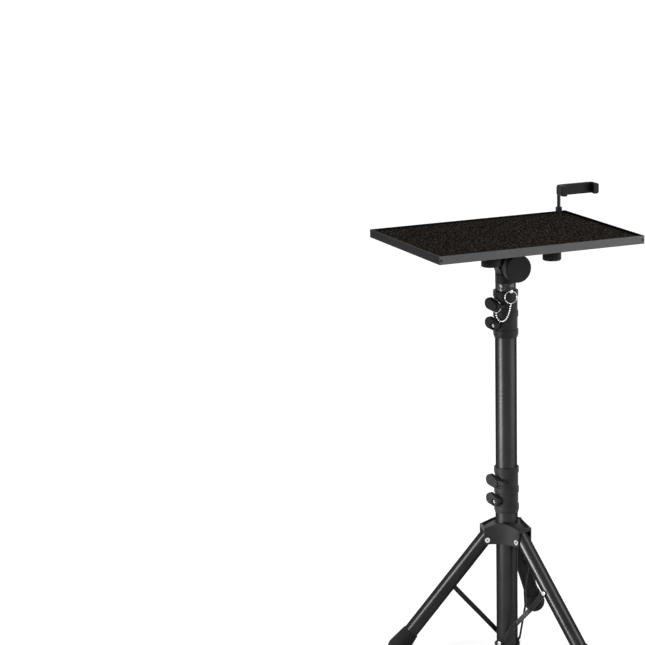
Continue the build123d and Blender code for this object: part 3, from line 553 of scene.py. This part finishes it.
def spline_points(route):
    """Points along the smooth line that a cord's route controls."""
    curve = bpy.data.curves.new("route", "CURVE")
    curve.dimensions = "3D"
    spline = curve.splines.new("NURBS")
    spline.points.add(len(route) - 1)
    for point, place in zip(spline.points, route):
        point.co = (*place, 1.0)
    spline.order_u = CHAIN_ORDER
    spline.use_endpoint_u = True
    spline.resolution_u = CHAIN_STEPS
    holder = bpy.data.objects.new("route", curve)
    mesh = bpy.data.meshes.new_from_object(holder)
    points = [vertex.co.copy() for vertex in mesh.vertices]
    bpy.data.objects.remove(holder)
    bpy.data.curves.remove(curve)
    bpy.data.meshes.remove(mesh)
    return points


def evenly_spaced(points, pitch):
    """Points at equal distances along a line, from its start to its end."""
    lengths = [0.0]
    for before, here in zip(points, points[1:]):
        lengths.append(lengths[-1] + (here - before).length)
    count = round(lengths[-1] / pitch)
    last = len(points) - 1
    found = []
    for i in range(count + 1):
        wanted = lengths[-1] * i / count
        k = next((n for n in range(1, len(points)) if lengths[n] >= wanted - ROUNDING), last)
        share = (wanted - lengths[k - 1]) / (lengths[k] - lengths[k - 1])
        found.append(points[k - 1].lerp(points[k], share))
    return found


def make_chain():
    """Hollow beads on a thin wire, from the pin's ring to the ring on the knob's stem."""
    path = spline_points(CHAIN_ROUTE)
    maker = bmesh.new()
    add_tube(maker, path, LINK_D / 2, LINK_SIDES)
    for place in evenly_spaced(path, BEAD_PITCH):
        bmesh.ops.create_uvsphere(
            maker,
            u_segments=BEAD_SEGMENTS,
            v_segments=BEAD_RINGS,
            radius=BEAD_D / 2,
            matrix=Matrix.Translation(place),
        )
    chain = make_piece("chain_beads", maker, "bright_metal")
    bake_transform(chain)
    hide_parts("bead_chain")


make_chain()


def make_split_ring(name, node, direction, body):
    """Key ring of nearly two turns of wire side by side, in the place of a node's plain ring."""
    low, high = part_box(node)
    radius = (high.z - low.z) / 2 - SPLIT_WIRE / 2
    place = facing(box_middle(node), direction)
    points = []
    for i in range(SPLIT_STEPS + 1):
        turn = SPLIT_TURNS * i / SPLIT_STEPS
        crossed = (turn - SPLIT_TURNS / 2) / SPLIT_CROSSING + 0.5
        aside = (min(max(crossed, 0.0), 1.0) - 0.5) * SPLIT_WIRE
        angle = 2 * pi * turn + SPLIT_START
        points.append(place @ Vector((radius * cos(angle), radius * sin(angle), aside)))
    maker = bmesh.new()
    add_tube(maker, points, SPLIT_WIRE / 2, SPLIT_SIDES)
    ring = make_piece(name, maker, "bright_metal")
    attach(ring, body)
    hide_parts(node)


make_split_ring("pin_split_ring", "pin_ring", outwards(PIN_ANGLE), "pin")
make_split_ring("stem_split_ring", "chain_loop", outwards(KNOB_ANGLE), "column")


def make_rim_screws():
    """Small dark screws near the ends of the front and back strips."""
    maker = bmesh.new()
    profile = [(share * RIM_SCREW_D / 2, height) for share, height in RIM_SCREW_PROFILE]
    for node, side in (("front_rim", -1), ("back_rim", 1)):
        low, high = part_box(node)
        face = low.y if side < 0 else high.y
        for x in (low.x + RIM_SCREW_INSET, high.x - RIM_SCREW_INSET):
            middle = Vector((x, face, (low.z + high.z) / 2))
            add_lathe(maker, facing(middle, Vector((0, side, 0))), profile, RIM_SCREW_SIDES)
    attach(make_piece("rim_screws", maker, "leg_paint"), "tray")


make_rim_screws()


def add_slotted_end(maker, place, radius, height):
    """Round screw end, cut across by a slot."""
    for side in (-1, 1):
        outline = []
        for i in range(SCREW_STEPS + 1):
            angle = pi * i / SCREW_STEPS
            outline.append((radius * cos(angle), side * max(radius * sin(angle), SCREW_SLOT / 2)))
        rings = []
        for scale, share in KNOB_SCREW_PROFILE:
            level = height * share
            rings.append([maker.verts.new(place @ Vector((x * scale, y * scale, level))) for x, y in outline])
        join_rings(maker, rings)
        close_ends(maker, rings)


def make_knob_screw(name, collar, body):
    """Bright slotted screw end in the recess of a collar's lower knob."""
    direction = outwards(KNOB_ANGLE)
    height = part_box(collar)[1].z - KNOB_SCREW_DROP
    place = facing(direction * KNOB_SCREW_R + Vector((0, 0, height)), direction)
    turn = Matrix.Rotation(radians(KNOB_SCREW_TURN), 4, "Z")
    maker = bmesh.new()
    add_slotted_end(maker, place @ turn, KNOB_SCREW_D / 2, KNOB_SCREW_H)
    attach(make_piece(name, maker, "bright_metal"), body)


make_knob_screw("upper_knob_screw", "upper_collar", "column")
make_knob_screw("lower_knob_screw", "lower_collar", "leg_carrier")


def fluted(angle):
    return 1 + FLUTE_DEPTH * cos(THUMB_FLUTES * angle)


def make_thumb_knobs():
    """Fluted hand knobs on the ends of the tray's screws."""
    maker = bmesh.new()
    low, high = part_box("thumb_knobs")
    height = high.z - low.z
    profile = [(share * THUMB_R, level) for share, level in THUMB_PROFILE]
    profile += [(THUMB_STEM_R, THUMB_GRIP_H), (THUMB_STEM_R, height), (0.0, height)]
    for x in (-THUMB_X, THUMB_X):
        for y in (-THUMB_Y, THUMB_Y):
            place = Matrix.Translation((x, y, low.z))
            add_lathe(maker, place, profile, THUMB_FLUTES * FLUTE_SIDES, fluted)
    knobs = make_piece("fluted_knobs", maker, "black_plastic")
    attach(knobs, "tray")
    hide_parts("thumb_knobs")


make_thumb_knobs()


def mixed_shader(tree, factor, first, second, socket):
    node = tree.nodes.new("ShaderNodeMixShader")
    tree.links.new(factor, node.inputs[0])
    tree.links.new(first, node.inputs[1])
    tree.links.new(second, node.inputs[2])
    tree.links.new(node.outputs[0], socket)


def seen_directly(tree):
    """1 for rays that show a background: from the camera, or by a mirror or glass."""
    rays = tree.nodes.new("ShaderNodeLightPath")
    value = rays.outputs["Is Camera Ray"]
    for name in ("Is Glossy Ray", "Is Transmission Ray"):
        either = tree.nodes.new("ShaderNodeMath")
        either.operation = "MAXIMUM"
        tree.links.new(value, either.inputs[0])
        tree.links.new(rays.outputs[name], either.inputs[1])
        value = either.outputs["Value"]
    return value


def background(tree, strength):
    node = tree.nodes.new("ShaderNodeBackground")
    node.inputs["Color"].default_value = WHITE
    node.inputs["Strength"].default_value = strength
    return node.outputs[0]


def make_world():
    """Even dim light, and white where the background is seen."""
    world = bpy.data.worlds.new("studio")
    world.use_nodes = True
    scene.world = world
    tree = world.node_tree
    tree.nodes.clear()
    dim = background(tree, AMBIENT)
    white = background(tree, 1.0)
    output = tree.nodes.new("ShaderNodeOutputWorld")
    mixed_shader(tree, seen_directly(tree), dim, white, output.inputs["Surface"])


def make_floor():
    """White floor that glows only where it is seen, and keeps a soft shadow."""
    maker = bmesh.new()
    bmesh.ops.create_grid(maker, x_segments=1, y_segments=1, size=FLOOR_SIZE / 2)
    mesh = bpy.data.meshes.new("floor")
    maker.to_mesh(mesh)
    maker.free()
    material = bpy.data.materials.new("floor_white")
    material.use_nodes = True
    tree = material.node_tree
    tree.nodes.clear()
    matt = tree.nodes.new("ShaderNodeBsdfDiffuse")
    matt.inputs["Color"].default_value = (*grey(FLOOR_GREY), 1.0)
    place = tree.nodes.new("ShaderNodeTexCoord")
    near = tree.nodes.new("ShaderNodeMapping")
    near.inputs["Scale"].default_value = (1 / FLOOR_FADE, 1 / FLOOR_FADE, 1 / FLOOR_FADE)
    tree.links.new(place.outputs["Object"], near.inputs["Vector"])
    fade = tree.nodes.new("ShaderNodeTexGradient")
    fade.gradient_type = "SPHERICAL"
    tree.links.new(near.outputs["Vector"], fade.inputs["Vector"])
    level = tree.nodes.new("ShaderNodeMapRange")
    level.inputs["To Min"].default_value = 1.0
    level.inputs["To Max"].default_value = FLOOR_GLOW
    tree.links.new(fade.outputs["Fac"], level.inputs["Value"])
    glow = tree.nodes.new("ShaderNodeEmission")
    glow.inputs["Color"].default_value = WHITE
    tree.links.new(level.outputs["Result"], glow.inputs["Strength"])
    both = tree.nodes.new("ShaderNodeAddShader")
    tree.links.new(matt.outputs[0], both.inputs[0])
    tree.links.new(glow.outputs[0], both.inputs[1])
    output = tree.nodes.new("ShaderNodeOutputMaterial")
    mixed_shader(tree, seen_directly(tree), matt.outputs[0], both.outputs[0], output.inputs["Surface"])
    mesh.materials.append(material)
    floor = bpy.data.objects.new("floor", mesh)
    scene.collection.objects.link(floor)


def around(azimuth, distance, height):
    """Point at an azimuth seen from above, 0 in front of the tray, at a distance from the column."""
    return Vector((sin(radians(azimuth)) * distance, -cos(radians(azimuth)) * distance, height))


def make_lamp(name, place, aim, width, height, power, spread=FULL_SPREAD):
    """Soft box at a place, turned to a height on the column's axis; spread narrows its beam, in degrees."""
    data = bpy.data.lights.new(name, "AREA")
    data.shape = "RECTANGLE"
    data.size = width
    data.size_y = height
    data.energy = power
    data.spread = radians(spread)
    lamp = bpy.data.objects.new(name, data)
    lamp.location = place
    lamp.rotation_mode = "QUATERNION"
    lamp.rotation_quaternion = (Vector((0, 0, aim)) - place).to_track_quat("-Z", "Y")
    scene.collection.objects.link(lamp)


make_world()
make_floor()
make_lamp("key", around(40, 2.1, 1.7), aim=0.5, width=1.4, height=1.6, power=47.0)
make_lamp("top", around(10, 0.4, 2.6), aim=0.5, width=1.6, height=1.6, power=8.0)
make_lamp("low_left", around(-86, 1.2, 0.25), aim=0.25, width=0.55, height=0.30, power=2.2, spread=46)
make_lamp("high_left", around(-78, 1.3, 0.90), aim=0.10, width=0.50, height=0.40, power=1.0, spread=40)
make_lamp("low_right", around(50, 1.3, 0.21), aim=0.30, width=1.20, height=0.27, power=5.2)
make_lamp("back_left", around(-178, 2.0, 0.9), aim=0.4, width=1.60, height=1.40, power=11.0)
make_lamp("back_right", around(115, 2.2, 0.9), aim=0.4, width=1.40, height=1.40, power=12.0)

scene.view_settings.view_transform = "Standard"
